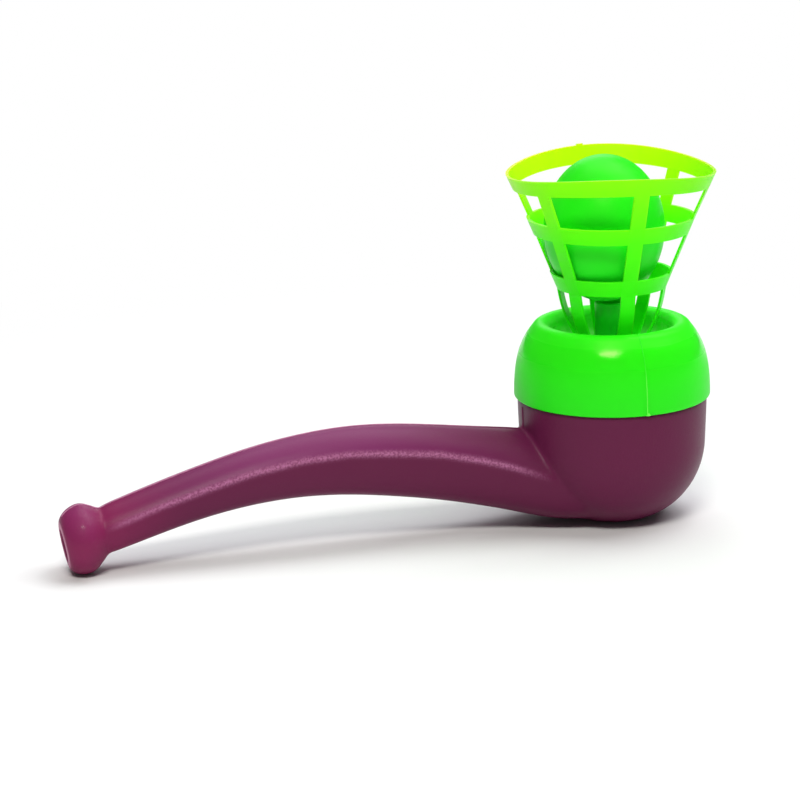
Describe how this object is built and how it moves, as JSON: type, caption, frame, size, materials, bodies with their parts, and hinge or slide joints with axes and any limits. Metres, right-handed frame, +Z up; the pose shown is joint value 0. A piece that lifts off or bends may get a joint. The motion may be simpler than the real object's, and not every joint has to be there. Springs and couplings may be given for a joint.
{
  "type": "blow ball pipe toy",
  "caption": "Pipe-shaped blowing toy: hollow curved stem with mouthpiece bulb, round bowl, push-on collar with upright nozzle, ribbed open basket and a light egg-shaped floating ball.",
  "frame": {"origin": "centre of the part's footprint, on the surface that it stands on", "axes": "+X runs from the mouthpiece to the bowl, +Z is up along the nozzle and basket, +Y is to the left of +X"},
  "size_m": [0.1666, 0.052, 0.0923],
  "materials": {
    "body_plastic": "fine satin texture",
    "collar_plastic": "smooth semi-gloss",
    "nozzle_plastic": "smooth",
    "basket_plastic": "smooth, slightly translucent",
    "ball_plastic": "soft matte"
  },
  "bodies": {
    "pipe": {"pipe_body": "body_plastic"},
    "cap": {"collar": "collar_plastic", "nozzle_tube": "nozzle_plastic"},
    "cage": {"basket": "basket_plastic"},
    "ball": {"ball": "ball_plastic"}
  },
  "joints": [
    {"name": "cap_lift", "type": "slide", "parent": "pipe", "child": "cap", "axis": [0, 0, 1], "range_m": [0, 0.012]},
    {"name": "cage_lift", "type": "slide", "parent": "cap", "child": "cage", "axis": [0, 0, 1], "range_m": [0, 0.014]},
    {"name": "ball_float", "type": "slide", "parent": "cage", "child": "ball", "axis": [0, 0, 1], "range_m": [0, 0.06]}
  ]
}
